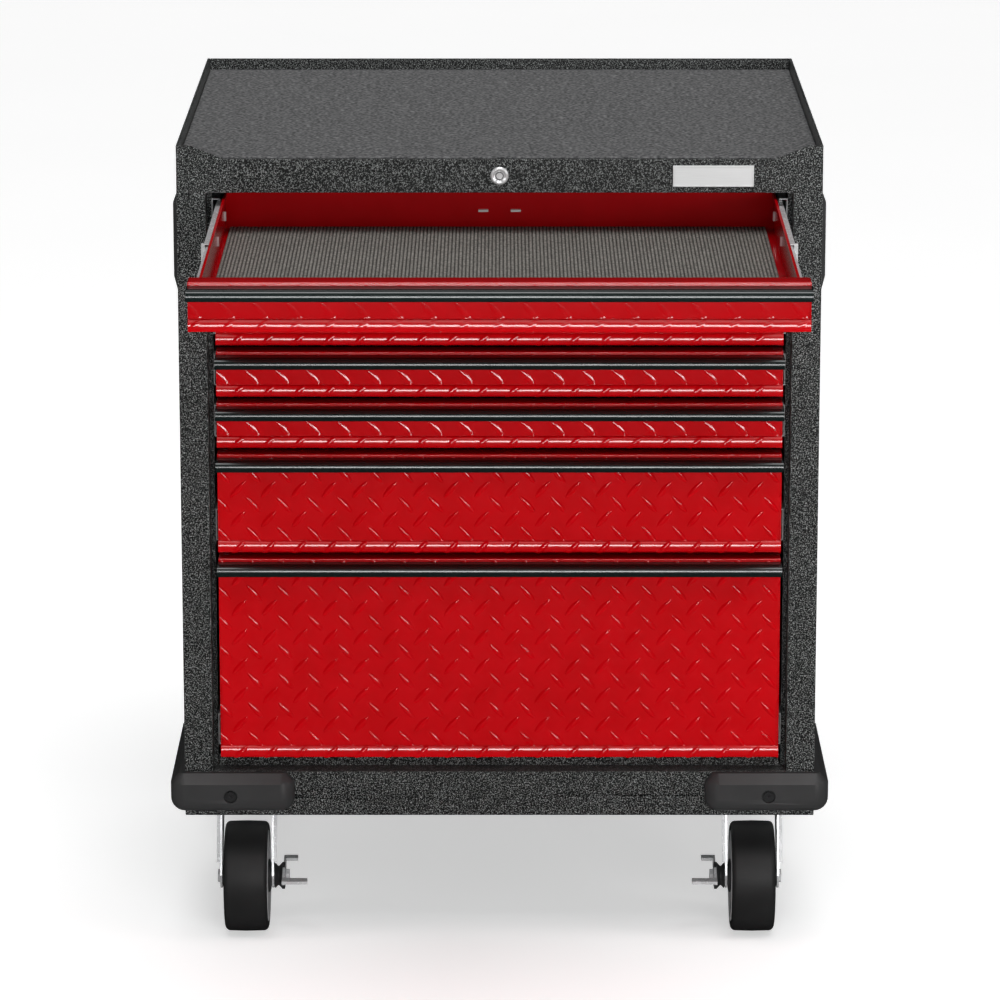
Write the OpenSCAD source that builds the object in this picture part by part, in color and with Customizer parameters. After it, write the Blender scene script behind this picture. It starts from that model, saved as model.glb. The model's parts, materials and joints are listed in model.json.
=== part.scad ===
/* [Cabinet] */
// Width over the side panels
body_w = 711.2; // [640:0.1:800]
// Depth from the stiles to the back panel
body_d = 635; // [620:1:700]
// Height of the base frame under the stiles
base_h = 51.75; // [45:0.05:60]
// Width of each front stile
stile_w = 32; // [28:0.5:36]
// Thickness of the sheet metal
sheet = 1.2; // [1:0.1:1.5]
// Height of the fascia above the drawers
fascia_h = 37.65; // [34:0.05:45]
// Height of the rim above the deck
rim_h = 15.2; // [10:0.1:20]

/* [Drawers] */
// Height of a shallow drawer front
shallow_h = 51; // [50:0.5:60]
// Height of the medium drawer front
medium_h = 112.5; // [80:0.5:130]
// Height of the deep drawer front
deep_h = 231; // [180:0.5:260]
// Gap between drawer fronts
drawer_gap = 7.35; // [4:0.05:10]
// Full travel of a drawer
travel = 525; // [450:1:526]
// How far the top drawer stands open
open_1 = 493; // [0:1:525]
// How far a drawer handle stands out
handle_out = 20; // [16:0.5:24]

/* [Side handles and bumpers] */
// How far a side handle stands out
side_handle_out = 18; // [16:0.5:24]
// How far a corner bumper stands out
bumper_out = 16; // [12:0.5:17]
// Height of a corner bumper
bumper_h = 45; // [40:0.5:45]

/* [Casters] */
// Height from the floor to the base frame
caster_h = 158.75; // [155:0.05:170]
// Diameter of a wheel
wheel_d = 127; // [110:1:130]
// Width of a tyre
tyre_w = 50.8; // [40:0.1:52]
// Distance from the swivel axis to the axle
trail = 35; // [20:1:40]

/* [Hidden] */
$fn = 48;

// Colours
hammertone = "#303234";
gloss_red = "#c4121a";
zinc = "#c9ccd0";
moulded = "#1b1c1e";
pull_black = "#20292a";
mat_grey = "#4a4b4d";

// The front plane, with the origin midway between the open drawer's handle and the rear bumpers
front_y = (handle_out + open_1 - body_d - bumper_out) / 2;
half_w = body_w / 2;

// Levels of the cabinet
base_z = caster_h;
sill_z = base_z + base_h;
sill_gap = 16.9;
heights = [shallow_h, shallow_h, shallow_h, shallow_h, shallow_h, medium_h, deep_h];
stack_h = 5 * shallow_h + medium_h + deep_h + 6 * drawer_gap;
stack_top = sill_z + sill_gap + stack_h;
fascia_z = stack_top + 3.35;
deck_z = fascia_z + fascia_h;
rim_z = deck_z + rim_h;
hem = 3;

// Drawers, counted from the top
function above(i) = i == 0 ? 0 : above(i - 1) + heights[i - 1] + drawer_gap;
function top_of(i) = stack_top - above(i);
function bottom_of(i) = top_of(i) - heights[i];
function opened(i) = i == 0 ? open_1 : 0;
front_half = half_w - stile_w - 9.1;
front_skin = 1.5;
front_box = 26;
bead_r = 5.5;
bead_y = 2.5;
tray_half = 305.5;
tray_l = travel + 1;
tray_base = 2.5;
tray_drop = 4.5;
catch_z = 32;
catch_out = 14;

// Three-part slides, one each side of a drawer
slide_gap = 12.7;
slide_z = 25;
slide_y = front_box + 2;
post_in = tray_half + slide_gap + 0.3;
skin = sheet;

// Lock in the middle of the fascia
lock_z = fascia_z + 19;
lock_r = 10;
barrel_r = 8;
plug_r = 5.2;
rod_r = 3;
fit = 0.06;
seam = 0.05;
crank_r = 8.5;
lock_bar_y = front_box + tray_l + 23;
crank_y = lock_bar_y - 6;
bar_w = 40;

// Casters
caster_x = 290;
axle_back = 75;
axle_z = wheel_d / 2;
axle_r = 4.95;
rim_r = axle_z - 11.5;
fork_in = 28.5;
fork_t = 2.5;
plate_w = 101.6;
plate_l = 114.3;
plate_t = 4;
bolt_x = 41.3;
bolt_y = 47.6;
bolt_r = 4.7;

// Corner bumpers
bumper_z = base_z + 6.5;
bumper_front_l = 108;
bumper_side_l = 235;
screw_in = 52;
screw_z = bumper_z + 20;

module in_cabinet() { translate([0, front_y, 0]) children(); }
module both_sides() { for (side = [0, 1]) mirror([side, 0, 0]) children(); }
module corners() {
    both_sides() {
        children();
        translate([0, body_d, 0]) mirror([0, 1, 0]) children();
    }
}
// A box from its low corner to its high corner
module block(low, high) { translate(low) cube(high - low); }
// An outline in Y and Z, drawn out along X from x0 to x1
module along_x(x0, x1) {
    translate([x0, 0, 0]) rotate([90, 0, 90]) linear_extrude(x1 - x0) children();
}
// A round bar along Y
module bar_y(r, y0, y1, sides = 48) {
    translate([0, y0, 0]) rotate([-90, 0, 0]) cylinder(r = r, h = y1 - y0, $fn = sides);
}
// A round bar along X
module bar_x(r, x0, x1, sides = 48) {
    translate([x0, 0, 0]) rotate([0, 90, 0]) cylinder(r = r, h = x1 - x0, $fn = sides);
}

// ---- Cabinet ----

module side_panel() {
    stile_in = half_w - stile_w;
    corner_in = half_w - 63;
    rim_flat = 16;
    slope_drop = 19.4;
    return_l = 25;
    // outer sheet, stile with its return, and rear flange
    block([half_w - sheet, 0, sill_z], [half_w, body_d - sheet, deck_z]);
    block([stile_in, 0, sill_z], [half_w, sheet, fascia_z]);
    block([stile_in, 0, sill_z], [stile_in + sheet, return_l, fascia_z]);
    block([half_w - 20, body_d - 2 * sheet, sill_z], [half_w, body_d - sheet, deck_z - sheet]);
    // hemmed rim above the deck
    block([half_w - hem, 0, deck_z], [half_w, body_d, rim_z]);
    // corner plate lapped over the end of the fascia
    translate([0, sheet, 0]) rotate([90, 0, 0]) linear_extrude(sheet) polygon([
        [corner_in, fascia_z], [half_w, fascia_z], [half_w, rim_z],
        [half_w - rim_flat, rim_z], [corner_in, rim_z - slope_drop]
    ]);
}

module side_panels() {
    color(hammertone) in_cabinet() both_sides() side_panel();
}

module lock_guide(z) {
    ear = bar_w / 2 + 4;
    slot = bar_w / 2 + 0.6;
    difference() {
        block([-ear, lock_bar_y - 3, z - 8], [ear, body_d - sheet, z + 8]);
        block([-slot, lock_bar_y - 0.6, z - 9], [slot, lock_bar_y + 2.6, z + 9]);
        block([-slot + 5, lock_bar_y - 4, z - 9], [slot - 5, lock_bar_y, z + 9]);
    }
}

module back_panel() {
    rib_half = 290;
    color(hammertone) in_cabinet() {
        difference() {
            block([-half_w, body_d - sheet, sill_z], [half_w, body_d, deck_z - sheet]);
            // two rows of vent slots near the top
            for (row = [0, 1], k = [-3 : 3]) translate([k * 40, body_d, deck_z - 60 - 16 * row])
                block([-13, -2 * sheet, -2.5], [13, sheet, 2.5]);
        }
        // pressed stiffening ribs
        for (k = [0 : 3]) translate([0, body_d, sill_z + 120 + 140 * k])
            intersection() {
                bar_x(4, -rib_half, rib_half);
                block([-half_w, -0.2, -5], [half_w, 5, 5]);
            }
        for (z = [sill_z + 60, (sill_z + deck_z) / 2, deck_z - 110]) lock_guide(z);
    }
}

module base_pan() {
    floor_t = 1.5;
    sill_back = front_box;
    color(hammertone) in_cabinet() difference() {
        union() {
            difference() {
                block([-half_w, 0, base_z], [half_w, body_d, sill_z]);
                block([sheet - half_w, sheet, base_z + floor_t],
                      [half_w - sheet, body_d - sheet, sill_z + 1]);
            }
            // sill behind the skirt, turned up under the deep drawer
            block([-post_in - 7, 0, sill_z - sheet], [post_in + 7, sill_back, sill_z]);
            block([-post_in + 0.5, sill_back - sheet, sill_z - sheet],
                  [post_in - 0.5, sill_back, sill_z + 13.5]);
        }
        // holes for the caster bolts and the bumper screws
        for (y = [axle_back + trail, body_d - axle_back]) both_sides() translate([caster_x, y, 0])
            for (sx = [-1, 1], sy = [-1, 1]) translate([sx * bolt_x, sy * bolt_y, base_z - 1])
                cylinder(r = bolt_r + 0.5, h = floor_t + 2);
        corners() bumper_screw_places() bar_y(3.2, -1, sheet + 1);
    }
}

module top_panel() {
    fascia_return = 18;
    hanger_y = crank_y - 8;
    color(hammertone) in_cabinet() difference() {
        union() {
            // fascia with its bottom return, deck, and hemmed back rim
            block([sheet - half_w, sheet, fascia_z], [half_w - sheet, 2 * sheet, deck_z]);
            block([-front_half, sheet, fascia_z], [front_half, fascia_return, fascia_z + sheet]);
            block([sheet - half_w, sheet, deck_z - sheet], [half_w - sheet, body_d, deck_z]);
            block([hem - half_w, body_d - hem, deck_z], [half_w - hem, body_d, rim_z]);
            // hanger that carries the back of the lock rod
            block([-10, hanger_y, lock_z - 7], [10, hanger_y + 2, deck_z]);
        }
        translate([0, 0, lock_z]) {
            bar_y(barrel_r + fit, 0, 3 * sheet);
            bar_y(rod_r + fit, hanger_y - 1, hanger_y + 3);
        }
    }
}

module top_mat() {
    mat_t = 2;
    color(mat_grey) in_cabinet()
        block([hem - half_w + 0.5, 3.5, deck_z], [half_w - hem - 0.5, body_d - hem - 0.5, deck_z + mat_t]);
}

module slide_post() {
    post_l = 28;
    post_t = 1.5;
    inside = half_w - sheet;
    floor_z = base_z + 1.5;
    // the outer posts keep clear of the stile returns and of the caster nuts
    for (y = [slide_y - 2, slide_y + (tray_l - post_l) / 2, slide_y + tray_l - post_l - 5]) {
        block([post_in, y, floor_z], [post_in + post_t, y + post_l, deck_z - sheet]);
        for (edge = [y, y + post_l - post_t])
            block([post_in, edge, floor_z], [inside, edge + post_t, deck_z - sheet]);
    }
}

module slide_posts() {
    color(hammertone) in_cabinet() both_sides() slide_post();
}

// A channel rolled from strip: its web lies between x0 and x0 + skin, its flanges reach to x1
module runner(web_x, x0, x1, half_h, y0, length) {
    block([web_x, y0, -half_h], [web_x + skin, y0 + length, half_h]);
    for (z = [-half_h, half_h - skin]) block([x0, y0, z], [x1, y0 + length, z + skin]);
}

module cabinet_runners() {
    far = tray_half + slide_gap + 0.3;
    color(zinc) in_cabinet() both_sides() for (i = [0 : 6])
        translate([0, 0, bottom_of(i) + slide_z])
            runner(far - skin, far - 9.5, far, 18, slide_y, tray_l);
}

module badge_plate() {
    color("silver") in_cabinet() difference() {
        block([190.7, sheet - 1.6, lock_z - 12.2], [279.6, sheet, lock_z + 11.4]);
        block([192.5, sheet - 1.7, lock_z - 10.4], [277.8, sheet - 1.2, lock_z + 9.6]);
    }
}

// ---- Side handles ----

module side_handle() {
    z0 = deck_z - 189;
    z1 = z0 + 113;
    y0 = 220;
    y1 = 415;
    wall = 3;
    out = side_handle_out;
    top_r = 14;
    // hood seen from the front: domed at the top, its lower lip leaning in
    difference() {
        translate([half_w, y1, 0]) rotate([90, 0, 0]) linear_extrude(y1 - y0) {
            polygon([[0, z0], [out - 4, z0], [out, z0 + 16], [out, z1 - top_r], [0, z1 - top_r]]);
            translate([0, z1 - top_r]) square([out - top_r, top_r]);
            translate([out - top_r, z1 - top_r]) circle(r = top_r);
        }
        block([half_w - 2 * top_r, y0 - 1, z0], [half_w, y1 + 1, z1 + 1]);
        // finger room, open at the bottom
        translate([half_w - 1, y1 - wall, 0]) rotate([90, 0, 0]) linear_extrude(y1 - y0 - 2 * wall)
            polygon([[-1, z0 - 1], [out - 6, z0 - 1], [out - wall + 1, z0 + 17],
                     [out - wall + 1, z1 - 18], [out - wall - 9, z1 - 5], [-1, z1 - 5]]);
    }
}

module side_handles() {
    color(moulded) in_cabinet() both_sides() side_handle();
}

// ---- Corner bumpers ----

// The bumper's section: its lower edge a quarter round, its upper edge bevelled
module bumper_section() {
    translate([0, bumper_z]) {
        intersection() {
            translate([0, bumper_out]) circle(r = bumper_out);
            square(bumper_out);
        }
        polygon([
            [0, bumper_out], [bumper_out, bumper_out], [bumper_out, bumper_h - 11],
            [bumper_out - 9, bumper_h], [0, bumper_h]
        ]);
    }
}

// Two legs joined by a quarter turn round the cabinet's corner, each leg ending in a quarter turn
module bumper_front_leg() {
    translate([half_w - bumper_front_l, 0, 0]) {
        rotate([90, 0, 90]) linear_extrude(bumper_front_l) mirror([1, 0]) bumper_section();
        rotate([0, 0, 180]) rotate_extrude(angle = 90) bumper_section();
    }
}

module bumper_side_leg() {
    translate([half_w, 0, 0]) {
        rotate([90, 0, 180]) linear_extrude(bumper_side_l) mirror([1, 0]) bumper_section();
        translate([0, bumper_side_l, 0]) rotate_extrude(angle = 90) bumper_section();
        rotate([0, 0, -90]) rotate_extrude(angle = 90) bumper_section();
    }
}

// Screw places seen from outside: axis along +Y into the cabinet, origin on its wall
module bumper_screw_places() {
    translate([half_w - screw_in, 0, screw_z]) children();
    translate([half_w, 3 * screw_in, screw_z]) rotate([0, 0, 90]) children();
}

module corner_bumpers() {
    color(moulded) in_cabinet() corners() difference() {
        union() {
            bumper_front_leg();
            bumper_side_leg();
        }
        bumper_screw_places() {
            bar_y(7.8, -bumper_out - 1, 6 - bumper_out);
            bar_y(3.2, -bumper_out, 1);
        }
    }
}

module bumper_screws() {
    head_y = 6 - bumper_out;
    color("black") in_cabinet() corners() bumper_screw_places() difference() {
        union() {
            bar_y(4.8, head_y - 3.5, head_y);
            bar_y(3, head_y - 1, sheet + 8);
        }
        bar_y(2, head_y - 4, head_y - 1.5, 6);
    }
}

// ---- Lock ----

module lock_housing() {
    color("silver") in_cabinet() translate([0, 0, lock_z]) difference() {
        union() {
            // dished bezel
            rotate([90, 0, 0]) rotate_extrude() polygon([
                [0, -sheet], [lock_r, -sheet], [lock_r, 0.8], [lock_r - 1.4, 2.2],
                [plug_r + 2.2, 2.2], [plug_r, 0.6], [0, 0.6]
            ]);
            bar_y(barrel_r, 0, 24);
            bar_y(14, 2 * sheet, 2 * sheet + 5, 6);
        }
        bar_y(plug_r + fit, -3, 25);
    }
}

module lock_plug() {
    color("silver") in_cabinet() translate([0, 0, lock_z]) difference() {
        union() {
            bar_y(plug_r, -0.9, 26);
            bar_y(7, 24.3, 26);
        }
        // ring-shaped keyway with a notch at the bottom
        difference() {
            bar_y(4.6, -2, 6);
            bar_y(3.5, -3, 7);
        }
        block([-0.7, -2, -5], [0.7, 6, -3.8]);
    }
}

module lock_rod() {
    pin_place = crank_r / sqrt(2);
    color(zinc) in_cabinet() translate([0, 0, lock_z]) {
        bar_y(rod_r, 26, crank_y);
        bar_y(12, crank_y, crank_y + 4);
        translate([pin_place, 0, -pin_place]) bar_y(2.5, crank_y + 3, lock_bar_y + 4);
    }
}

module lock_bar() {
    pin_place = crank_r / sqrt(2);
    foot_z = bottom_of(6) + catch_z - 30;
    color(zinc) in_cabinet() {
        difference() {
            block([-bar_w / 2, lock_bar_y, foot_z], [bar_w / 2, lock_bar_y + 2, lock_z + 4]);
            block([2.5, lock_bar_y - 1, lock_z - pin_place - 3.2],
                  [12.5, lock_bar_y + 3, lock_z - pin_place + 3.2]);
        }
        // one upturned finger behind each drawer
        for (i = [0 : 6]) translate([0, 0, bottom_of(i) + catch_z]) {
            block([-9, lock_bar_y - 18.5, -17], [9, lock_bar_y + 1, -14]);
            block([-9, lock_bar_y - 18.5, -17], [9, lock_bar_y - 15, -2.5]);
        }
    }
}

// ---- Casters ----

module caster_bolts() {
    for (sx = [-1, 1], sy = [-1, 1]) translate([sx * bolt_x, sy * bolt_y, base_z]) {
        translate([0, 0, -plate_t - 6 - seam]) cylinder(r = 8.4, h = 6, $fn = 6);
        translate([0, 0, -plate_t - 1]) cylinder(r = bolt_r, h = plate_t + 11);
        translate([0, 0, 1.5 + seam]) cylinder(r = 8.4, h = 6, $fn = 6);
    }
}

module caster_plate() {
    difference() {
        translate([-plate_w / 2, -plate_l / 2, base_z - plate_t]) cube([plate_w, plate_l, plate_t]);
        for (sx = [-1, 1], sy = [-1, 1]) translate([sx * bolt_x, sy * bolt_y, base_z - plate_t - 1])
            cylinder(r = bolt_r + 0.5, h = plate_t + 2);
    }
}

module at_front_swivels() {
    for (side = [-1, 1]) translate([side * caster_x, front_y + axle_back + trail, 0]) children();
}

module swivel_plates() {
    color(zinc) at_front_swivels() {
        caster_plate();
        // race and king pin
        translate([0, 0, base_z - plate_t - 7.75]) cylinder(r1 = 31, r2 = 36, h = 8);
        translate([0, 0, base_z - plate_t - 19.25]) cylinder(r = 6, h = 13);
        translate([0, 0, base_z - plate_t - 23.25]) cylinder(r = 10, h = 4);
        caster_bolts();
    }
}

// One leg of a fork, in Y and Z, from its top edge down to the axle
module leg_outline(top_z, top_half, axle_y) {
    polygon([
        [-top_half, top_z], [top_half, top_z],
        [axle_y + 14, axle_z + 4], [axle_y + 10, axle_z - 9], [axle_y - 10, axle_z - 9],
        [axle_y - 14, axle_z + 4]
    ]);
    translate([axle_y, axle_z]) circle(r = 14);
}

// Axle bolt with a head outside and a nut inside the chest, seen on the right-hand caster
module axle_bolt(nut_x) {
    bar_x(axle_r, -nut_x - 3, fork_in + fork_t + 3);
    bar_x(8, fork_in + fork_t + seam, fork_in + fork_t + 3, 6);
    bar_x(8, -nut_x - 4, -nut_x - seam, 6);
}

// Swivelling fork of the right-hand caster, its origin on the swivel axis at the floor
module swivel_fork() {
    crown_z = base_z - plate_t - 18.75;
    difference() {
        union() {
            for (x = [-fork_in - fork_t, fork_in]) along_x(x, x + fork_t)
                leg_outline(crown_z + 4, 28, -trail);
            block([-fork_in - fork_t, -28, crown_z], [fork_in + fork_t, 28, crown_z + 4]);
            translate([0, 0, crown_z + 3]) cylinder(r1 = 34, r2 = 30, h = 7.5);
            // stiffening flanges turned out along the front edges
            for (x = [-fork_in - fork_t - 3.5, fork_in + fork_t]) along_x(x, x + 3.5) polygon([
                [-28, crown_z + 4], [-25.5, crown_z + 4], [-trail - 11.5, axle_z + 20],
                [-trail - 14, axle_z + 20]
            ]);
        }
        translate([0, 0, crown_z - 1]) cylinder(r = 6 + fit, h = 14);
        translate([0, -trail, axle_z]) bar_x(axle_r + 0.05, -50, 50);
    }
    translate([0, -trail, axle_z]) axle_bolt(44.5);
}

module at_swivel(side) {
    translate([side * caster_x, front_y + axle_back + trail, 0])
        mirror([side < 0 ? 1 : 0, 0, 0]) children();
}

module swivel_fork_left() { color(zinc) at_swivel(-1) swivel_fork(); }
module swivel_fork_right() { color(zinc) at_swivel(1) swivel_fork(); }

module rigid_forks() {
    top_z = base_z - plate_t;
    color(zinc) for (side = [-1, 1])
        translate([side * caster_x, front_y + body_d - axle_back, 0]) mirror([side < 0 ? 1 : 0, 0, 0]) {
            difference() {
                union() {
                    caster_plate();
                    for (x = [-fork_in - fork_t, fork_in]) along_x(x, x + fork_t)
                        leg_outline(top_z, 34, 0);
                    block([-fork_in - fork_t, -30, top_z - 3], [fork_in + fork_t, 30, top_z]);
                }
                translate([0, 0, axle_z]) bar_x(axle_r + 0.05, -50, 50);
            }
            translate([0, 0, axle_z]) axle_bolt(fork_in + fork_t);
            caster_bolts();
        }
}

module tyre() {
    shoulder = 6;
    straight = tyre_w / 2 - shoulder;
    bed_r = rim_r + seam;
    rotate([0, 90, 0]) rotate_extrude($fn = 96) difference() {
        union() {
            translate([bed_r, -straight]) square([axle_z - bed_r, 2 * straight]);
            for (x = [-straight, straight]) translate([axle_z - shoulder, x]) circle(r = shoulder);
        }
        translate([0, -tyre_w]) square([bed_r, 2 * tyre_w]);
    }
}

module wheel_core() {
    hub_r = 18;
    rotate([0, 90, 0]) rotate_extrude($fn = 96) {
        translate([8, -fork_in + 0.4]) square([hub_r - 8, 2 * fork_in - 0.8]);
        translate([hub_r - 1, -6]) square([rim_r - hub_r, 12]);
        translate([rim_r - 7, -24.5]) square([7, 49]);
    }
}

module wheel_bush() {
    rotate([0, 90, 0]) rotate_extrude()
        translate([axle_r + 0.07, -fork_in + 0.4]) square([8 - seam - axle_r - 0.07, 2 * fork_in - 0.8]);
}

module wheel(side, back) {
    translate([side * caster_x, front_y + back, axle_z]) {
        color(moulded) tyre();
        color("silver") wheel_core();
        color(zinc) wheel_bush();
    }
}

module wheel_front_left() { wheel(-1, axle_back); }
module wheel_front_right() { wheel(1, axle_back); }
module wheel_rear_left() { wheel(-1, body_d - axle_back); }
module wheel_rear_right() { wheel(1, body_d - axle_back); }

// Rocker brake of the right-hand caster: a cam hub on the axle and two pedals towards the centre
module brake() {
    lever_x = -44;
    translate([0, -trail, axle_z]) difference() {
        union() {
            bar_x(11, lever_x, -fork_in - fork_t - 0.4);
            along_x(lever_x, lever_x + 3) polygon([
                [-44, 6.5], [-28, 6.5], [-9, 12.5], [2, 8.5], [24, 13], [38, 13], [38, 9.5],
                [26, 9], [9, -10], [-6, -11.5], [-30, 2.5], [-44, 2.5]
            ]);
            block([lever_x - 26, -44, 3], [lever_x + 1, -30, 6.5]);
            block([lever_x - 13, 25, 9.5], [lever_x + 1, 38, 13]);
        }
        bar_x(axle_r + 0.08, lever_x - 1, 0);
    }
}

module brake_left() { color(zinc) at_swivel(-1) brake(); }
module brake_right() { color(zinc) at_swivel(1) brake(); }

// ---- Drawers ----

module at_drawer(i, share = 1) {
    translate([0, front_y - share * opened(i), bottom_of(i)]) children();
}

// The front pan seen from its end: square at the top, with a rolled bead along the bottom
module pan_outline(h, inset) {
    translate([inset, bead_r]) square([front_box - inset, h - bead_r - inset]);
    translate([bead_y, inset]) square([front_box - bead_y, bead_r]);
    translate([bead_y, bead_r]) circle(r = bead_r - inset);
}

module drawer_front(i) {
    h = heights[i];
    color(gloss_red) at_drawer(i) {
        along_x(-front_half, front_half) difference() {
            pan_outline(h, 0);
            pan_outline(h, front_skin);
            translate([front_box - front_skin, front_skin]) square([2 * front_skin, h - 2 * front_skin]);
        }
        for (x = [-front_half, front_half - front_skin]) along_x(x, x + front_skin) pan_outline(h, 0);
    }
}

module drawer_tray(i) {
    h = heights[i];
    low = tray_base;
    high = h - tray_drop;
    y0 = front_box;
    y1 = front_box + tray_l;
    color(gloss_red) at_drawer(i) {
        difference() {
            block([-tray_half, y0, low], [tray_half, y1, high]);
            block([skin - tray_half, y0 + skin, low + skin], [tray_half - skin, y1 - skin, high + 1]);
        }
        // hems along the tops of the sides
        both_sides() block([tray_half - hem, y0, high - 6], [tray_half, y1, high]);
        // lock catch on the back wall
        difference() {
            block([-20, y1 - 0.5, catch_z], [20, y1 + catch_out, catch_z + 2]);
            block([-12, y1 + 2.5, catch_z - 1], [12, y1 + 10.5, catch_z + 3]);
        }
    }
}

module drawer_handle(i) {
    pull_half = front_half + 0.9;
    web_t = 2;
    low = heights[i] - 19.5;
    high = heights[i] - 3.5;
    nose_r = 4.5;
    // hooked pull: back web, top web and a round nose, with the finger channel open below
    color(pull_black) at_drawer(i) along_x(-pull_half, pull_half) {
        translate([-web_t, low]) square([web_t, high - low]);
        polygon([
            [0, high], [-handle_out + nose_r, high - 1.5], [-handle_out + nose_r, high - 5], [0, high - 3]
        ]);
        translate([-handle_out + nose_r, high - 1.5 - nose_r]) circle(r = nose_r);
        translate([-handle_out, low + 4]) square([web_t, high - low - 10]);
        translate([-handle_out + web_t / 2, low + 4]) circle(r = web_t / 2);
    }
}

module drawer_runners(i) {
    color(zinc) at_drawer(i) both_sides() translate([0, 0, slide_z])
        runner(tray_half, tray_half, tray_half + 6, 10, slide_y, tray_l - 2);
}

module drawer_mid_runners(i) {
    web_x = tray_half + 6.6;
    cage_l = travel / 2 - 14;
    color(zinc) at_drawer(i, 0.5) both_sides() translate([0, 0, slide_z]) {
        runner(web_x, tray_half + 1.6, web_x + skin, 13.5, slide_y, tray_l);
        // stop at the front end
        block([web_x + skin, slide_y, -13.5], [web_x + 4.2, slide_y + 5, 13.5]);
        // ball cages: outer pair in the rear half, inner pair in the front half
        for (z = [-1, 1]) {
            translate([web_x - 2, slide_y + travel / 2 + 4, z * 15.1 - 1.1]) cube([6, cage_l, 2.2]);
            translate([tray_half + 1.8, slide_y + 8, z * 11.2 - 0.8]) cube([4, cage_l, 1.6]);
        }
    }
}

module drawer_1_tray() { drawer_tray(0); }
module drawer_1_front() { drawer_front(0); }
module drawer_1_handle() { drawer_handle(0); }
module drawer_1_runners() { drawer_runners(0); }
module drawer_1_mid_runners() { drawer_mid_runners(0); }
module drawer_2_tray() { drawer_tray(1); }
module drawer_2_front() { drawer_front(1); }
module drawer_2_handle() { drawer_handle(1); }
module drawer_2_runners() { drawer_runners(1); }
module drawer_2_mid_runners() { drawer_mid_runners(1); }
module drawer_3_tray() { drawer_tray(2); }
module drawer_3_front() { drawer_front(2); }
module drawer_3_handle() { drawer_handle(2); }
module drawer_3_runners() { drawer_runners(2); }
module drawer_3_mid_runners() { drawer_mid_runners(2); }
module drawer_4_tray() { drawer_tray(3); }
module drawer_4_front() { drawer_front(3); }
module drawer_4_handle() { drawer_handle(3); }
module drawer_4_runners() { drawer_runners(3); }
module drawer_4_mid_runners() { drawer_mid_runners(3); }
module drawer_5_tray() { drawer_tray(4); }
module drawer_5_front() { drawer_front(4); }
module drawer_5_handle() { drawer_handle(4); }
module drawer_5_runners() { drawer_runners(4); }
module drawer_5_mid_runners() { drawer_mid_runners(4); }
module drawer_6_tray() { drawer_tray(5); }
module drawer_6_front() { drawer_front(5); }
module drawer_6_handle() { drawer_handle(5); }
module drawer_6_runners() { drawer_runners(5); }
module drawer_6_mid_runners() { drawer_mid_runners(5); }
module drawer_7_tray() { drawer_tray(6); }
module drawer_7_front() { drawer_front(6); }
module drawer_7_handle() { drawer_handle(6); }
module drawer_7_runners() { drawer_runners(6); }
module drawer_7_mid_runners() { drawer_mid_runners(6); }

side_panels();
back_panel();
base_pan();
top_panel();
top_mat();
slide_posts();
cabinet_runners();
side_handles();
corner_bumpers();
bumper_screws();
badge_plate();
lock_housing();
lock_plug();
lock_rod();
lock_bar();
swivel_plates();
rigid_forks();
swivel_fork_left();
swivel_fork_right();
wheel_front_left();
wheel_front_right();
wheel_rear_left();
wheel_rear_right();
brake_left();
brake_right();
drawer_1_tray();
drawer_1_front();
drawer_1_handle();
drawer_1_runners();
drawer_1_mid_runners();
drawer_2_tray();
drawer_2_front();
drawer_2_handle();
drawer_2_runners();
drawer_2_mid_runners();
drawer_3_tray();
drawer_3_front();
drawer_3_handle();
drawer_3_runners();
drawer_3_mid_runners();
drawer_4_tray();
drawer_4_front();
drawer_4_handle();
drawer_4_runners();
drawer_4_mid_runners();
drawer_5_tray();
drawer_5_front();
drawer_5_handle();
drawer_5_runners();
drawer_5_mid_runners();
drawer_6_tray();
drawer_6_front();
drawer_6_handle();
drawer_6_runners();
drawer_6_mid_runners();
drawer_7_tray();
drawer_7_front();
drawer_7_handle();
drawer_7_runners();
drawer_7_mid_runners();
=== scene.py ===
import json
import math

import bmesh
import bpy
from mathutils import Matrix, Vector


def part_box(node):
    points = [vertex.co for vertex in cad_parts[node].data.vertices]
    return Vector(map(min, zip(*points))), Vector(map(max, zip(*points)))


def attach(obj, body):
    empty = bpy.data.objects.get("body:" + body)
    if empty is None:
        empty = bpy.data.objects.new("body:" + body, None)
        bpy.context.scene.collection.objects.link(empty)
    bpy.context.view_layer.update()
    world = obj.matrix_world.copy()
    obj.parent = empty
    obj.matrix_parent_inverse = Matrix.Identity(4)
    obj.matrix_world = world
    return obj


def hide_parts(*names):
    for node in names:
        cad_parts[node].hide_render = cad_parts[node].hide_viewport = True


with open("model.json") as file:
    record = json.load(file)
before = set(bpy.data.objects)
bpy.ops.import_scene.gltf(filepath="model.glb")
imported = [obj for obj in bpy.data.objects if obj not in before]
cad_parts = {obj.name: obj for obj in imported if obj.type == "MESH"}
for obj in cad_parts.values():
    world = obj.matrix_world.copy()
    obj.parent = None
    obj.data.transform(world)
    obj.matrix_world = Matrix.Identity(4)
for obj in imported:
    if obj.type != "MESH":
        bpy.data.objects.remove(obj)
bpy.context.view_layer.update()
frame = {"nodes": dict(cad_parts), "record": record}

MM = 0.001
DRAWERS = range(1, 8)
RIB_PITCH = 4 * MM
WHEELS = {"front_left": "wheel_fl", "front_right": "wheel_fr",
          "rear_left": "wheel_rl", "rear_right": "wheel_rr"}


# ---- Materials ----

def new_material(name, **sockets):
    """A Principled material; sockets sets its constants, with underscores for spaces."""
    material = bpy.data.materials.new(name)
    material.use_nodes = True
    tree = material.node_tree
    shader = tree.nodes["Principled BSDF"]
    for socket, value in sockets.items():
        shader.inputs[socket.replace("_", " ")].default_value = value
    return material, tree, shader


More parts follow.
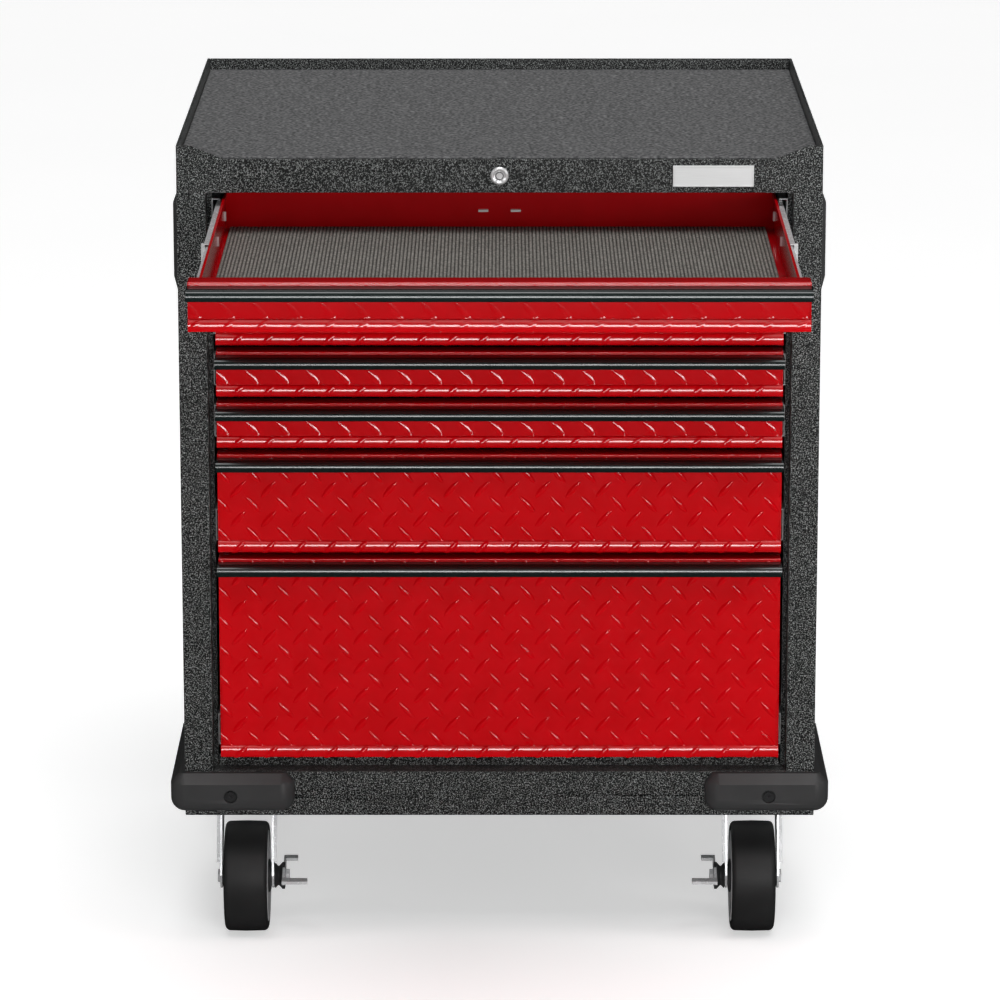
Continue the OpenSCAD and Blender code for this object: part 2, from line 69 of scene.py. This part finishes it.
def add(tree, kind, inputs=None, **settings):
    node = tree.nodes.new(kind)
    for key, value in settings.items():
        setattr(node, key, value)
    for socket, value in (inputs or {}).items():
        if hasattr(value, "is_linked"):
            tree.links.new(value, node.inputs[socket])
        else:
            node.inputs[socket].default_value = value
    return node


def object_coordinates(tree, stretch=(1, 1, 1)):
    """Object coordinates in metres, stretched for grain that runs one way."""
    place = add(tree, "ShaderNodeTexCoord").outputs["Object"]
    return add(tree, "ShaderNodeMapping", {"Vector": place, "Scale": stretch}).outputs["Vector"]


def noise(tree, where, size, detail=3.0, roughness=0.5):
    """Noise whose features are about size metres across."""
    return add(tree, "ShaderNodeTexNoise",
               {"Vector": where, "Scale": 1 / size, "Detail": detail,
                "Roughness": roughness}).outputs["Fac"]


def ramp(tree, value, low, high, from_low=0.0, from_high=1.0):
    """Maps value from one range to another, clamped."""
    return add(tree, "ShaderNodeMapRange",
               {"Value": value, "From Min": from_low, "From Max": from_high,
                "To Min": low, "To Max": high}).outputs["Result"]


def calculate(tree, operation, a, b=0.0):
    return add(tree, "ShaderNodeMath", {0: a, 1: b}, operation=operation).outputs[0]


def color_mix(tree, shader, factor, dark, light):
    mix = tree.nodes.new("ShaderNodeMixRGB")
    tree.links.new(factor, mix.inputs["Fac"])
    mix.inputs["Color1"].default_value = (*dark, 1)
    mix.inputs["Color2"].default_value = (*light, 1)
    tree.links.new(mix.outputs["Color"], shader.inputs["Base Color"])


def bump(tree, shader, height, depth, strength):
    """Bump of that depth in metres."""
    node = add(tree, "ShaderNodeBump", {"Height": height, "Distance": depth, "Strength": strength})
    tree.links.new(node.outputs["Normal"], shader.inputs["Normal"])


def hammertone():
    """Powder coat: fine light flecks, gathered in patches, over a near-black ground."""
    material, tree, shader = new_material("hammertone", Roughness=0.3, Specular_IOR_Level=0.22)
    where = object_coordinates(tree)
    warp = add(tree, "ShaderNodeTexNoise", {"Vector": where, "Scale": 600.0, "Detail": 1.0})
    shift = add(tree, "ShaderNodeVectorMath",
                {0: warp.outputs["Color"], 1: (0.001, 0.001, 0.001)}, operation="MULTIPLY")
    warped = add(tree, "ShaderNodeVectorMath", {0: where, 1: shift.outputs["Vector"]},
                 operation="ADD")
    cells = add(tree, "ShaderNodeTexVoronoi",
                {"Vector": warped.outputs["Vector"], "Scale": 560.0},
                feature="DISTANCE_TO_EDGE")
    vein = ramp(tree, cells.outputs["Distance"], 1.0, 0.0, 0.03, 0.16)
    patches = ramp(tree, noise(tree, where, 0.0016, 1.0), 0.0, 1.0, 0.46, 0.62)
    factor = calculate(tree, "MULTIPLY", vein, patches)
    color_mix(tree, shader, factor, (0.0008, 0.0014, 0.0013), (0.33, 0.345, 0.34))
    bump(tree, shader, factor, 0.00016, 0.6)
    return material


def gloss_red(name, coat):
    """Red paint under a clear coat of that weight."""
    material, tree, shader = new_material(
        name, Specular_IOR_Level=0.1, Coat_Weight=coat, Coat_Roughness=0.1)
    where = object_coordinates(tree)
    color_mix(tree, shader, ramp(tree, noise(tree, where, 0.03), 0.0, 1.0, 0.3, 0.7),
              (0.46, 0.0003, 0.0025), (0.51, 0.0005, 0.0038))
    tree.links.new(ramp(tree, noise(tree, where, 0.012), 0.14, 0.22), shader.inputs["Roughness"])
    bump(tree, shader, noise(tree, where, 0.0016, 1.0), 0.00001, 0.5)
    return material


def pull_paint():
    material, tree, shader = new_material("pull", Specular_IOR_Level=0.5)
    where = object_coordinates(tree, (0.04, 1, 1))
    grain = noise(tree, where, 0.0012, 2.0)
    color_mix(tree, shader, grain, (0.004, 0.0085, 0.0082), (0.008, 0.0135, 0.013))
    tree.links.new(ramp(tree, grain, 0.10, 0.18), shader.inputs["Roughness"])
    bump(tree, shader, grain, 0.000006, 0.4)
    return material


def plated(name, dark, light, rough_low, rough_high, cell, metal):
    """Plated or bare steel with a faint spangle and fine wear."""
    material, tree, shader = new_material(name, Metallic=metal)
    where = object_coordinates(tree)
    spangle = add(tree, "ShaderNodeTexVoronoi", {"Vector": where, "Scale": 1 / cell})
    grey = add(tree, "ShaderNodeSeparateColor", {"Color": spangle.outputs["Color"]})
    wear = noise(tree, where, cell * 0.3, 4.0, 0.65)
    both = calculate(tree, "MULTIPLY", grey.outputs["Red"], wear)
    color_mix(tree, shader, ramp(tree, both, 0.0, 1.0, 0.05, 0.6), dark, light)
    tree.links.new(ramp(tree, wear, rough_low, rough_high), shader.inputs["Roughness"])
    bump(tree, shader, wear, 0.00001, 0.5)
    return material


def brushed_badge():
    material, tree, shader = new_material("badge", Metallic=0.3)
    where = object_coordinates(tree, (0.02, 1, 1))
    grain = noise(tree, where, 0.0006, 3.0)
    color_mix(tree, shader, grain, (0.62, 0.63, 0.63), (0.76, 0.77, 0.77))
    tree.links.new(ramp(tree, grain, 0.28, 0.42), shader.inputs["Roughness"])
    bump(tree, shader, grain, 0.00001, 0.5)
    return material


def grained(name, dark, light, grain_size, depth, rough_low, rough_high, specular=0.4):
    """Moulded plastic or rubber with a fine surface grain."""
    material, tree, shader = new_material(name, Specular_IOR_Level=specular)
    where = object_coordinates(tree)
    grain = noise(tree, where, grain_size, 3.0)
    cloud = noise(tree, where, grain_size * 25)
    color_mix(tree, shader, cloud, dark, light)
    tree.links.new(ramp(tree, grain, rough_low, rough_high), shader.inputs["Roughness"])
    bump(tree, shader, grain, depth, 0.7)
    return material


def pebbled_mat():
    """Rubber with fine pebbles, lighter and darker in small patches."""
    material, tree, shader = new_material("mat", Roughness=0.82, Specular_IOR_Level=0.25)
    where = object_coordinates(tree)
    pebbles = add(tree, "ShaderNodeTexVoronoi", {"Vector": where, "Scale": 280.0},
                  feature="SMOOTH_F1").outputs["Distance"]
    cloud = noise(tree, where, 0.0045, 4.0, 0.7)
    both = calculate(tree, "MULTIPLY", pebbles, cloud)
    color_mix(tree, shader, ramp(tree, both, 0.0, 1.0, 0.05, 0.4),
              (0.030, 0.031, 0.032), (0.245, 0.245, 0.248))
    bump(tree, shader, both, 0.0003, 0.6)
    return material


def ribbed_liner():
    """Rubber with dark specks, and painted shade that darkens the grooves between the ribs."""
    material, tree, shader = new_material("liner", Roughness=0.85, Specular_IOR_Level=0.25)
    where = object_coordinates(tree)
    across = add(tree, "ShaderNodeSeparateXYZ", {"Vector": where}).outputs["X"]
    phase = calculate(tree, "FRACT", calculate(tree, "DIVIDE", across, RIB_PITCH))
    groove = calculate(tree, "ABSOLUTE", calculate(tree, "SUBTRACT", phase, 0.5))
    # painted shade: the colour gets darker towards the grooves between the ribs, as if shade fell
    # there
    painted_groove_shade = ramp(tree, groove, 1.0, 0.62, 0.18, 0.45)
    grain = noise(tree, where, 0.0026, 3.0, 0.75)
    # the real dark specks, mixed with the painted groove shade
    specks_and_groove_shade = calculate(tree, "MULTIPLY", grain, painted_groove_shade)
    color_mix(tree, shader, ramp(tree, specks_and_groove_shade, 0.0, 1.0, 0.28, 0.62),
              (0.036, 0.033, 0.029), (0.34, 0.322, 0.295))
    bump(tree, shader, specks_and_groove_shade, 0.0004, 0.6)
    return material


def floor_paint():
    material, tree, shader = new_material("floor", Roughness=0.75, Specular_IOR_Level=0.1,
                                          Emission_Color=(1, 1, 1, 1), Emission_Strength=0.5)
    where = object_coordinates(tree)
    color_mix(tree, shader, noise(tree, where, 0.6), (0.78, 0.78, 0.78), (0.82, 0.82, 0.82))
    return material


MATERIALS = {
    "hammertone": hammertone(),
    "gloss_red": gloss_red("gloss_red", 0.95),
    "pull": pull_paint(),
    "zinc": plated("zinc", (0.66, 0.67, 0.68), (0.78, 0.79, 0.80), 0.20, 0.32, 0.009, 0.3),
    "chrome": plated("chrome", (0.84, 0.84, 0.85), (0.95, 0.95, 0.96), 0.12, 0.24, 0.004, 0.5),
    "badge": brushed_badge(),
    "moulded": grained("moulded", (0.026, 0.0264, 0.027), (0.038, 0.0384, 0.039),
                       0.0011, 0.00006, 0.38, 0.52, 0.3),
    "black_screw": grained("black_screw", (0.008, 0.008, 0.009), (0.018, 0.018, 0.019),
                           0.0006, 0.00002, 0.28, 0.45, 0.6),
    "mat": pebbled_mat(),
    "tyre": grained("tyre", (0.009, 0.009, 0.0093), (0.018, 0.018, 0.0183),
                    0.0013, 0.00008, 0.45, 0.62, 0.35),
}
CORE_GREY = grained("core_grey", (0.30, 0.305, 0.31), (0.40, 0.405, 0.41),
                    0.0012, 0.00004, 0.40, 0.55)
LINER = ribbed_liner()
TRAY_RED = gloss_red("tray_red", 0.08)


# ---- Mesh helpers ----

SHARP_ANGLE = math.radians(35)
BEVEL_ANGLE = math.radians(40)
FACE_CORNERS = 4


def arc(cx, cy, radius, start, end, steps):
    """Points of an arc, its angles in degrees."""
    turns = [math.radians(start + (end - start) * k / steps) for k in range(steps + 1)]
    return [(cx + radius * math.cos(t), cy + radius * math.sin(t)) for t in turns]


def millimetres(points):
    return [(a * MM, b * MM) for a, b in points]


def loft(bm, rings):
    """A closed shell through rings of points that match one to one."""
    rows = [[bm.verts.new(p) for p in ring] for ring in rings]
    count = len(rows[0])
    for low, high in zip(rows, rows[1:]):
        for k in range(count):
            n = (k + 1) % count
            bm.faces.new((low[k], low[n], high[n], high[k]))
    bm.faces.new(rows[0][::-1])
    bm.faces.new(rows[-1])


def prism(bm, outline, x0, x1):
    """A closed bar along X with a (y, z) outline."""
    loft(bm, [[(x, y, z) for y, z in outline] for x in (x0, x1)])


def lathe(bm, loop, centre, steps=96):
    """A closed ring about an axle along X; loop holds (radius, x) points."""
    rings = []
    for k in range(steps):
        t = 2 * math.pi * k / steps
        rings.append([bm.verts.new((centre.x + x, centre.y + r * math.cos(t),
                                    centre.z + r * math.sin(t))) for r, x in loop])
    count = len(loop)
    for low, high in zip(rings, rings[1:] + rings[:1]):
        for k in range(count):
            n = (k + 1) % count
            bm.faces.new((low[k], low[n], high[n], high[k]))


def piece(name, bm, material, body, replaced=(), bevel=0.0):
    """Turns a bmesh into a finished piece that rides on a body."""
    bmesh.ops.triangulate(bm, faces=[f for f in bm.faces if len(f.verts) > FACE_CORNERS])
    bmesh.ops.recalc_face_normals(bm, faces=bm.faces)
    mesh = bpy.data.meshes.new(name)
    bm.to_mesh(mesh)
    bm.free()
    mesh.shade_smooth()
    mesh.set_sharp_from_angle(angle=SHARP_ANGLE)
    obj = bpy.data.objects.new(name, mesh)
    bpy.context.scene.collection.objects.link(obj)
    mesh.materials.append(material)
    if bevel:
        soften(obj, bevel)
    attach(obj, body)
    if replaced:
        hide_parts(*replaced)


def soften(obj, width):
    """Rounds the hard edges with a narrow bevel that keeps the flats flat."""
    bevel = obj.modifiers.new("edges", "BEVEL")
    bevel.width = width
    bevel.segments = 2
    bevel.limit_method = "ANGLE"
    bevel.angle_limit = BEVEL_ANGLE
    bevel.harden_normals = True


# ---- Drawers: tread-plate fronts with a rolled bead, pulls, liners, fittings ----

SKIN = 1.5 * MM
PAN_DEPTH = 26 * MM
END_EDGE = 0.4 * MM
TRAY_WALL = 1.2 * MM
BEAD_OUT = 3 * MM
BEND = 1.2 * MM
LUG_PITCH = 34 * MM
LUG_L = 25 * MM
LUG_W = 7.2 * MM
# the tread is boldest on the two deep fronts and flattest on the open one
LUG_HEIGHTS = {1: 0.22 * MM, 6: 1.4 * MM, 7: 1.4 * MM}
SHALLOW_LUG_H = 0.7 * MM
LUG_LEAN = math.radians(48)
LUG_SUNK = 0.3 * MM
# measured up the face and negative down round the bead: the lowest lug, and where the tread ends
LOWEST_LUG, TREAD_FOOT = -9 * MM, -4 * MM
# where each lattice starts: from the left end, and up the face
FALLING_X, FALLING_S = 5.5 * MM, 21.2 * MM
RISING_X, OPEN_RISING_X, RISING_S = 22.5 * MM, 5.5 * MM, 4.2 * MM


def bead(inset):
    """The rolled lower edge: a round top, a long face leaning back a little, a rounded foot."""
    lean, face_r = math.radians(20), 26 * MM
    shoulder_r, foot_r = 1.7 * MM, 3.4 * MM
    centre_y = face_r - BEAD_OUT
    turns = [lean * k / 6 for k in range(6, -1, -1)]
    face = [(centre_y - face_r * math.cos(t), foot_r + face_r * math.sin(t)) for t in turns]
    top_y, top_z = face[0]
    shoulder_y = top_y + shoulder_r * math.cos(lean)
    shoulder_z = top_z - shoulder_r * math.sin(lean)
    upper = [(y, z) for y, z in arc(shoulder_y, shoulder_z, shoulder_r, 100, 160, 5)[:-1] if y < 0]
    foot = arc(foot_r - BEAD_OUT, foot_r, foot_r, 180, 262, 7)[1:]
    outline = [(0, upper[0][1])] + upper + face + foot
    return [(y + inset, max(z - inset * 0.3, inset)) for y, z in outline]


CREASE_Z = bead(0)[0][1] + 0.4 * MM


def pan_outline(height, inset):
    """The pan from its end, in (y, z): bent top, flat face, bead along the bottom."""
    points = [(PAN_DEPTH, height - inset)]
    points += arc(BEND + inset / 4, height - BEND - inset, BEND, 90, 180, 4)[:-1]
    points += [(inset, height - BEND - inset), (inset, CREASE_Z)]
    return points + bead(inset) + [(PAN_DEPTH, inset)]


def on_pan(s, height):
    """The point at height over the sheet, at s up the face or round the bead."""
    left = CREASE_Z - s
    path = [(0, CREASE_Z)] + bead(0)
    if left <= 0:
        return -height, s
    for (y0, z0), (y1, z1) in zip(path, path[1:]):
        length = math.hypot(y1 - y0, z1 - z0)
        if left <= length:
            break
        left -= length
    ty, tz = (y1 - y0) / length, (z1 - z0) / length
    return y0 + left * ty + height * tz, z0 + left * tz - height * ty


def add_lug(bm, x, s, lean, lug_h):
    """One lens-shaped lug in flat space: X along the drawer, Y up the sheet, Z off it."""
    along = [-1, -0.985, -0.93, -0.8, -0.6, -0.35, -0.1, 0.1, 0.35, 0.6, 0.8, 0.93, 0.985, 1]
    across = [-1, -0.97, -0.84, -0.62, -0.3, 0, 0.3, 0.62, 0.84, 0.97, 1]
    ca, sa = math.cos(lean), math.sin(lean)

    def vert(u, v, h):
        return bm.verts.new((x + u * ca - v * sa, s + u * sa + v * ca, h))

    rows = []
    for t in along[1:-1]:
        half = LUG_W / 2 * (1 - t * t) ** 0.72
        crown = lug_h * (1 - t * t) ** 0.6
        rows.append([vert(t * LUG_L / 2, f * half,
                          crown * (1 - f * f) ** 1.3 - LUG_SUNK * (abs(f) == 1)) for f in across])
    tips = [vert(t * LUG_L / 2, 0, -LUG_SUNK) for t in (-1, 1)]
    for low, high in zip(rows, rows[1:]):
        for k in range(len(across) - 1):
            bm.faces.new((low[k], low[k + 1], high[k + 1], high[k]))
        bm.faces.new((low[-1], low[0], high[0], high[-1]))
    for tip, row in ((tips[0], rows[0]), (tips[1], rows[-1])):
        for k in range(len(across) - 1):
            bm.faces.new((tip, row[k], row[k + 1]))
        bm.faces.new((tip, row[-1], row[0]))


def clip(bm, point, outward):
    """Cuts away everything beyond a plane and closes the cuts."""
    everything = bm.verts[:] + bm.edges[:] + bm.faces[:]
    bmesh.ops.bisect_plane(bm, geom=everything, dist=1e-7, plane_co=point, plane_no=outward,
                           clear_outer=True)
    open_edges = [e for e in bm.edges if e.is_boundary]
    bmesh.ops.holes_fill(bm, edges=open_edges, sides=0)


def tread_front(number):
    low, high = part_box(f"drawer_{number}_front")
    face_y = low.y + BEAD_OUT
    half, height = high.x, high.z - low.z
    bm = bmesh.new()
    # two square lattices of lugs, leaning opposite ways; every blank is cut at its own place
    lug_h = LUG_HEIGHTS.get(number, SHALLOW_LUG_H)
    rising_x = OPEN_RISING_X if number == 1 else RISING_X
    for offset_x, offset_s, lean in ((FALLING_X, FALLING_S, math.pi - LUG_LEAN),
                                     (rising_x, RISING_S, LUG_LEAN)):
        for i in range(math.ceil(2 * half / LUG_PITCH) + 1):
            for j in range(-1, math.ceil(height / LUG_PITCH) + 1):
                s = offset_s + j * LUG_PITCH
                if LOWEST_LUG < s < height + 5 * MM:
                    add_lug(bm, -half + offset_x + i * LUG_PITCH, s, lean, lug_h)
    inner = half - END_EDGE
    for point, outward in (((-inner, 0, 0), (-1, 0, 0)), ((inner, 0, 0), (1, 0, 0)),
                           ((0, height - 2 * BEND, 0), (0, 1, 0)),
                           ((0, TREAD_FOOT, 0), (0, -1, 0))):
        clip(bm, point, outward)
    for v in bm.verts:
        y, z = on_pan(v.co.y, v.co.z)
        v.co = (v.co.x, y, z)
    # the sheet, then a plate across each end
    skin = half - SKIN
    outer = pan_outline(height, 0)
    prism(bm, outer + pan_outline(height, SKIN)[::-1], -skin, skin)
    for side in (-1, 1):
        loft(bm, [[(side * skin, *p) for p in outer],
                  [(side * (half - END_EDGE), *p) for p in outer],
                  [(side * half, *p) for p in pan_outline(height, END_EDGE)]])
    for v in bm.verts:
        v.co += Vector((0, face_y, low.z))
    piece(f"tread_front_{number}", bm, MATERIALS["gloss_red"], f"drawer_{number}",
          [f"drawer_{number}_front"])


def pull(number):
    low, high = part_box(f"drawer_{number}_handle")
    web = 2 * MM
    nose_r = 4.5 * MM
    out = high.y - low.y
    top, foot = high.z, low.z
    face_r, lip_up = 17 * MM, 4 * MM
    nose_y, nose_z = nose_r - out, top - 6 * MM
    # over the nose, down a face that leans back a little, round the lip and back inside
    outline = [(0, foot), (0, top)]
    outline += arc(nose_y, nose_z, nose_r, 90, 162, 9)
    outline += arc(-out + face_r, nose_z - 3.8 * MM, face_r, 165, 180, 5)
    outline += arc(-out + web / 2, foot + lip_up, web / 2, 180, 360, 6)
    outline += arc(nose_y, nose_z - 0.5 * MM, nose_r - web, 180, 90, 8)
    outline += [(-web, top - 3 * MM), (-web, foot)]
    bm = bmesh.new()
    prism(bm, [(y + high.y, z) for y, z in outline], low.x, high.x)
    piece(f"pull_{number}", bm, MATERIALS["pull"], f"drawer_{number}",
          [f"drawer_{number}_handle"], bevel=0.35 * MM)


def liner(number):
    """A loose ribbed sheet on the tray's floor, its ribs running front to back."""
    low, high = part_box(f"drawer_{number}_tray")
    rib, rise = RIB_PITCH, 0.9 * MM
    # starts on a whole rib, so that the ribs meet the painted groove shade of the material
    edge = (high.x - 2 * MM) % rib + 2 * MM
    thick = 1.6 * MM
    base = low.z + TRAY_WALL + 0.05 * MM
    back = high.y - 16 * MM
    x, outline = low.x + edge, []
    while x < high.x - edge - rib:
        outline += [(x, thick), (x + rib * 0.25, thick + rise), (x + rib * 0.75, thick + rise)]
        x += rib
    outline += [(x, thick), (x, 0), (low.x + edge, 0)]
    bm = bmesh.new()
    loft(bm, [[(px, y, base + pz) for px, pz in outline] for y in (low.y + edge, back)])
    piece(f"liner_{number}", bm, LINER, f"drawer_{number}")


def fittings(number):
    """Slide hooks on the tray's side walls and the two bent tabs that hold its back wall."""
    low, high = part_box(f"drawer_{number}_tray")
    back = high.y - 14 * MM
    middle = (low.z + high.z) / 2
    hook = [(0, -5), (5, -5), (5, -2), (3, 5), (0, 5)]
    tab = [(-3.4, -1.5), (-1.2, -1.5), (-1.2, 1.5), (-3.4, 0.8)]
    bm = bmesh.new()
    for side in (-1, 1):
        x = side * (high.x - TRAY_WALL)
        for y in (back - 40 * MM, back - 190 * MM):
            prism(bm, [(y + dy * MM, middle + dz * MM) for dy, dz in hook],
                  *sorted([x, x - side * 2.2 * MM]))
        prism(bm, [(back + dy * MM, middle + dz * MM) for dy, dz in tab],
              *sorted([side * 12.5 * MM, side * 23.5 * MM]))
    piece(f"fittings_{number}", bm, MATERIALS["chrome"], f"drawer_{number}")


# ---- Wheels ----

def wheel(place, body):
    node = f"wheel_{place}"
    low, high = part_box(node)
    centre = (low + high) / 2
    radius = (high.z - low.z) / 2
    half_w = 25.4 * MM
    shoulder = 6 * MM
    bed = radius - 11.5 * MM
    bm = bmesh.new()
    side_x = half_w - 1.6 * MM
    right = arc(radius - shoulder - 0.5 * MM, half_w - shoulder - 0.5 * MM, shoulder, 90, 4, 12)
    loop = [(bed, -20 * MM), (bed + 1.5 * MM, -side_x)]
    loop += [(r, -x) for r, x in right]
    loop += [(radius, 0)]
    loop += right[::-1]
    loop += [(bed + 1.5 * MM, side_x), (bed, 20 * MM)]
    lathe(bm, loop, centre, 128)
    piece(f"tyre_{place}", bm, MATERIALS["tyre"], body, [node])

    # half of the core's section, as (radius, x): its hub, then its rim measured in from the tyre
    rim = bed - 0.05 * MM
    half = millimetres([(8, 26), (15.5, 26), (17, 24.5), (19, 8), (22, 5)])
    half += [(rim - depth * MM, x * MM) for depth, x in
             ((12, 5), (8, 8), (6, 24.2), (5, 25.2), (0.6, 25.2), (0, 24.6))]
    bm = bmesh.new()
    lathe(bm, half + [(r, -x) for r, x in half[::-1]], centre)
    piece(f"wheel_core_{place}", bm, CORE_GREY, body)

    # thread guards: shallow dishes that close the hub on both sides
    dish = millimetres([(8.2, 26.2), (8.2, 28), (11, 28), (16, 27.4), (19, 25.9), (19.5, 24.4),
                        (18.6, 24.4), (16, 26.2)])
    bm = bmesh.new()
    for side in (-1, 1):
        lathe(bm, [(r, side * x) for r, x in dish], centre, 64)
    piece(f"thread_guards_{place}", bm, MATERIALS["moulded"], body)

    bm = bmesh.new()
    lathe(bm, millimetres([(5.1, -28), (7.9, -28), (7.9, 28), (5.1, 28)]), centre, 48)
    piece(f"wheel_bush_{place}", bm, MATERIALS["zinc"], body)


def brake_cam(side, sign):
    """The black waisted cam between the fork leg and the lever."""
    low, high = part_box(f"wheel_front_{side}")
    profile = [(10, 31.7), (14, 31.7), (14.4, 32.6), (11.2, 35.2), (11.4, 36.6), (15.6, 40.4),
               (15.4, 43.2), (10, 43.2)]
    bm = bmesh.new()
    lathe(bm, [(r * MM, -sign * x * MM) for r, x in profile], (low + high) / 2, 64)
    piece(f"brake_cam_{side}", bm, MATERIALS["moulded"], f"pedal_{side}")


def painted_keyway_shade():
    """A black sheet that paints the shade down in the ring-shaped keyway and its notch."""
    low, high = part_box("lock_plug")
    front, x, z = low.y, (low.x + high.x) / 2, (low.z + high.z) / 2
    ring_r, core_r, notch_r, notch_half = 4.55 * MM, 3.55 * MM, 4.95 * MM, 0.6 * MM
    # both loops start right of the notch, run round to its left, and end with its two points
    outline = arc(x, z, ring_r, -82, 262, 40)
    outline += [(x - notch_half, z - notch_r), (x + notch_half, z - notch_r)]
    hole = arc(x, z, core_r, -82, 262, 40) + arc(x, z, core_r, 266, 274, 1)
    bm = bmesh.new()
    (outer_front, inner_front), (outer_back, inner_back) = [
        [[bm.verts.new((px, y, pz)) for px, pz in loop] for loop in (outline, hole)]
        for y in (front + 0.1 * MM, front + 3 * MM)]
    for a, b in ((outer_front, inner_front), (inner_front, inner_back), (inner_back, outer_back),
                 (outer_back, outer_front)):
        for k in range(len(a)):
            n = (k + 1) % len(a)
            bm.faces.new((a[k], a[n], b[n], b[k]))
    # painted shade: a black sheet stands where the keyway holds only shade
    piece("painted_keyway_shade", bm, MATERIALS["black_screw"], "lock_core")


for number in DRAWERS:
    tread_front(number)
    pull(number)
    liner(number)
    fittings(number)
for place, body in WHEELS.items():
    wheel(place, body)
for side, sign in (("left", -1), ("right", 1)):
    brake_cam(side, sign)
painted_keyway_shade()


# ---- CAD nodes that are shown as they are ----

# widths of the bevels in millimetres; the other nodes get OTHER_EDGE
OTHER_EDGE = 0.3
EDGES = {"side_panels": 0.55, "back_panel": 0.3, "base_pan": 0.8, "top_panel": 0.9, "top_mat": 0.6,
         "side_handles": 0.9, "corner_bumpers": 1.2, "badge_plate": 0.3, "bumper_screws": 0.3,
         "lock_housing": 0.4, "lock_plug": 0.3, "rigid_forks": 0.5, "swivel_plates": 0.5,
         "swivel_fork_left": 0.5, "swivel_fork_right": 0.5, "brake_left": 0.7, "brake_right": 0.7}
slots = {s["node"]: s["material_slot"] for s in frame["record"]["subparts"]}
for node, obj in frame["nodes"].items():
    obj.data.materials.clear()
    obj.data.materials.append(TRAY_RED if node.endswith("_tray") else MATERIALS[slots[node]])
    if obj.hide_render:
        continue
    weld = obj.modifiers.new("weld", "WELD")
    weld.merge_threshold = 1e-6
    soften(obj, EDGES.get(node, OTHER_EDGE) * MM)


# ---- Floor, backdrop, light and camera ----

STAGE_R = 40


def stage(name, bm, material):
    mesh = bpy.data.meshes.new(name)
    bm.to_mesh(mesh)
    bm.free()
    obj = bpy.data.objects.new(name, mesh)
    bpy.context.scene.collection.objects.link(obj)
    mesh.materials.append(material)
    obj.visible_glossy = False
    return obj


def floor():
    bm = bmesh.new()
    bmesh.ops.create_grid(bm, x_segments=1, y_segments=1, size=STAGE_R)
    stage("floor", bm, floor_paint())


def backdrop():
    """A pale dome that is seen behind the object, but neither lights nor shades it."""
    material, tree, shader = new_material("backdrop", Roughness=1.0, Specular_IOR_Level=0.0,
                                          Base_Color=(0, 0, 0, 1), Emission_Strength=1.0)
    cloud = noise(tree, object_coordinates(tree), 20.0, 1.0)
    mix = add(tree, "ShaderNodeMixRGB", {"Fac": cloud, "Color1": (0.97, 0.97, 0.97, 1),
                                         "Color2": (1.0, 1.0, 1.0, 1)})
    tree.links.new(mix.outputs["Color"], shader.inputs["Emission Color"])
    bm = bmesh.new()
    bmesh.ops.create_uvsphere(bm, u_segments=48, v_segments=24, radius=STAGE_R)
    dome = stage("backdrop", bm, material)
    dome.visible_diffuse = dome.visible_transmission = dome.visible_shadow = False


def softbox(name, place, target, width, height, power):
    data = bpy.data.lights.new(name, "AREA")
    data.shape = "RECTANGLE"
    data.size, data.size_y = width, height
    data.energy = power
    obj = bpy.data.objects.new(name, data)
    bpy.context.scene.collection.objects.link(obj)
    obj.location = place
    obj.rotation_euler = (Vector(target) - Vector(place)).to_track_quat("-Z", "Y").to_euler()


floor()
backdrop()
# the low strip makes the highlights on the beads, the pulls and the tread
softbox("front", (0.9, -4.3, 1.1), (0.9, -0.1, 0.6), 3.0, 0.4, 66)
softbox("key", (0.5, -4.0, 2.6), (0, -0.2, 0.6), 2.4, 1.2, 12)
softbox("left", (-3.0, -1.2, 2.2), (0, 0, 0.6), 0.8, 1.8, 10)
softbox("right", (3.0, -1.2, 2.2), (0, 0, 0.6), 0.8, 1.8, 16)
softbox("back", (0, 2.4, 3.6), (0, 0, 0.7), 3.0, 1.2, 15)
# a wide soft sun gives the shadow on the floor
overhead = bpy.data.lights.new("overhead", "SUN")
overhead.energy = 1.9
overhead.angle = math.radians(40)
overhead_rig = bpy.data.objects.new("overhead", overhead)
overhead_rig.rotation_euler = (math.radians(22), 0, math.radians(8))
bpy.context.scene.collection.objects.link(overhead_rig)

# as light, the room is bright overhead, dim at the horizon and dark below it
world = bpy.data.worlds.new("studio")
world.use_nodes = True
sky = world.node_tree
direction = add(sky, "ShaderNodeTexCoord").outputs["Generated"]
up = add(sky, "ShaderNodeSeparateXYZ", {"Vector": direction}).outputs["Z"]
sky.links.new(ramp(sky, up, 0.03, 0.5, 0.05, 0.8), sky.nodes["Background"].inputs["Strength"])
bpy.context.scene.world = world
bpy.context.scene.view_settings.view_transform = "Standard"

camera_data = bpy.data.cameras.new("camera")
camera_data.sensor_width = 36
camera_data.lens = 185.1
camera_data.clip_end = 200
camera = bpy.data.objects.new("camera", camera_data)
bpy.context.scene.collection.objects.link(camera)
camera.location = (0.0005, -5.646, 1.869)
camera_down = 13.54
camera.rotation_euler = (math.radians(90 - camera_down), 0, 0)
bpy.context.scene.camera = camera
